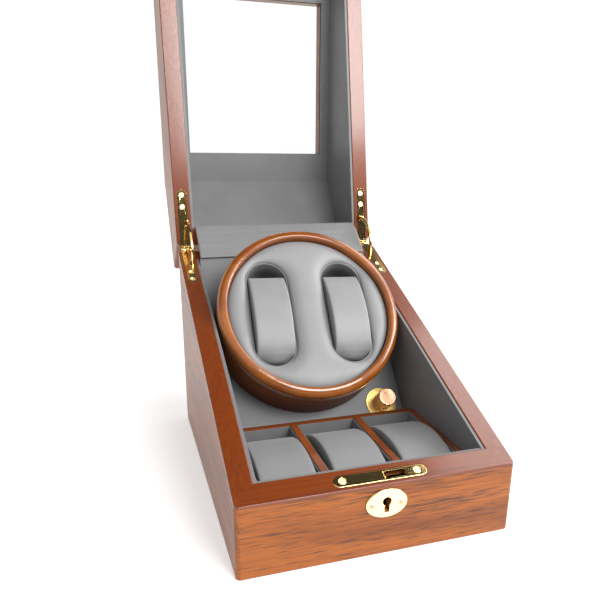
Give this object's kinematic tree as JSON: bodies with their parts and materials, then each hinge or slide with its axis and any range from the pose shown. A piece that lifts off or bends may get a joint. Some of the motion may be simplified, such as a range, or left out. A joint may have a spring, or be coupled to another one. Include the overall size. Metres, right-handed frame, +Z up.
{
  "type": "watch winder box",
  "caption": "Wooden watch winder box with a sloping front, hinged window lid, turning two-watch drum, cushioned tray, speed knob and key lock.",
  "frame": {"origin": "centre of the base, on the surface the box stands on", "axes": "+X to the right seen from the front, +Y from the front to the hinges, +Z up; rest pose has the lid fully open"},
  "size_m": [0.18, 0.3472, 0.4168],
  "materials": {
    "walnut": "satin lacquered open-pore veneer",
    "drum_wood": "gloss lacquer",
    "tray_wood": "satin lacquer",
    "plain_wood": "bare",
    "grey_leather": "fine-grained artificial leather",
    "felt": "felt",
    "brass": "polished gold plate",
    "rose_brass": "spun rose-gold plate",
    "steel": "brushed",
    "black_plastic": "matt",
    "circuit_board": "solder-masked board",
    "cable": "matt",
    "glass": "clear"
  },
  "bodies": {
    "case": {"base_felt": "felt", "bay_wall": "plain_wood", "brass_screws_case": "brass", "case_back": "walnut", "case_bottom": "walnut", "case_front": "walnut", "case_left": "walnut", "case_lining_front": "grey_leather", "case_lining_sides": "grey_leather", "case_right": "walnut", "control_board": "circuit_board", "dc_jack": "black_plastic", "deck_panel": "grey_leather", "dial_plate": "brass", "escutcheon": "brass", "escutcheon_pins": "brass", "gearbox": "steel", "gearbox_screws": "steel", "hinge_cover": "grey_leather", "hinge_lower_leaves": "brass", "jack_lead": "cable", "lock_case": "brass", "lock_plate": "brass", "motor": "steel", "motor_lead": "cable", "rotary_switch": "black_plastic", "spindle_bush": "brass", "switch_nut": "steel", "tray_frame": "tray_wood", "tray_pocket_linings": "grey_leather"},
    "lid": {"lid_back": "walnut", "lid_front": "walnut", "lid_left": "walnut", "lid_lining_back": "grey_leather", "lid_lining_front": "grey_leather", "lid_lining_sides": "grey_leather", "lid_lining_top": "grey_leather", "lid_lining_window": "grey_leather", "lid_right": "walnut", "lid_top": "walnut", "lid_window_frame": "walnut", "window_glass": "glass", "strike_plate": "brass", "hinge_upper_leaves": "brass", "brass_screws_lid": "brass"},
    "quadrant_left": {"quadrant_arm_left": "brass"},
    "quadrant_right": {"quadrant_arm_right": "brass"},
    "drum": {"drum_shell": "drum_wood", "drum_ring": "drum_wood", "drum_face": "grey_leather", "drum_pockets": "grey_leather", "drum_hub": "black_plastic", "drum_shaft": "steel"},
    "knob": {"control_knob": "rose_brass"},
    "bolt": {"lock_bolt": "brass"},
    "drum_cushion_left": {"drum_cushion_left": "grey_leather"},
    "drum_cushion_right": {"drum_cushion_right": "grey_leather"},
    "tray_cushion_left": {"tray_cushion_left": "grey_leather"},
    "tray_cushion_centre": {"tray_cushion_centre": "grey_leather"},
    "tray_cushion_right": {"tray_cushion_right": "grey_leather"}
  },
  "joints": [
    {"name": "lid_hinge", "type": "hinge", "parent": "case", "child": "lid", "pos_m": [0, 0.1264, 0.1534], "axis": [-1, 0, 0], "range_deg": [-123.7, 0], "deforming": ["hinge_cover"]},
    {"name": "quadrant_left_swing", "type": "hinge", "parent": "case", "child": "quadrant_left", "pos_m": [0, 0.1264, 0.1534], "axis": [-1, 0, 0], "range_deg": [-43.1, 0]},
    {"name": "quadrant_right_swing", "type": "hinge", "parent": "case", "child": "quadrant_right", "pos_m": [0, 0.1264, 0.1534], "axis": [-1, 0, 0], "range_deg": [-43.1, 0]},
    {"name": "drum_spin", "type": "hinge", "parent": "case", "child": "drum", "pos_m": [0, 0.0264, 0.1202], "axis": [0, -0.7615, 0.6481], "continuous": true},
    {"name": "knob_turn", "type": "hinge", "parent": "case", "child": "knob", "pos_m": [0.056, -0.01929, 0.06651], "axis": [0, -0.7615, 0.6481], "range_deg": [-120, 0]},
    {"name": "lock_bolt_slide", "type": "slide", "parent": "case", "child": "bolt", "axis": [1, 0, 0], "range_m": [0, 0.004]},
    {"name": "drum_cushion_left_lift", "type": "slide", "parent": "drum", "child": "drum_cushion_left", "axis": [0, -0.7615, 0.6481], "range_m": [0, 0.045]},
    {"name": "drum_cushion_right_lift", "type": "slide", "parent": "drum", "child": "drum_cushion_right", "axis": [0, -0.7615, 0.6481], "range_m": [0, 0.045]},
    {"name": "tray_cushion_left_lift", "type": "slide", "parent": "case", "child": "tray_cushion_left", "axis": [0, 0, 1], "range_m": [0, 0.05]},
    {"name": "tray_cushion_centre_lift", "type": "slide", "parent": "case", "child": "tray_cushion_centre", "axis": [0, 0, 1], "range_m": [0, 0.05]},
    {"name": "tray_cushion_right_lift", "type": "slide", "parent": "case", "child": "tray_cushion_right", "axis": [0, 0, 1], "range_m": [0, 0.05]}
  ],
  "couplings": [
    {"joint": "quadrant_left_swing", "follows": "lid_hinge", "ratio": 0.34762},
    {"joint": "quadrant_right_swing", "follows": "lid_hinge", "ratio": 0.34762}
  ]
}
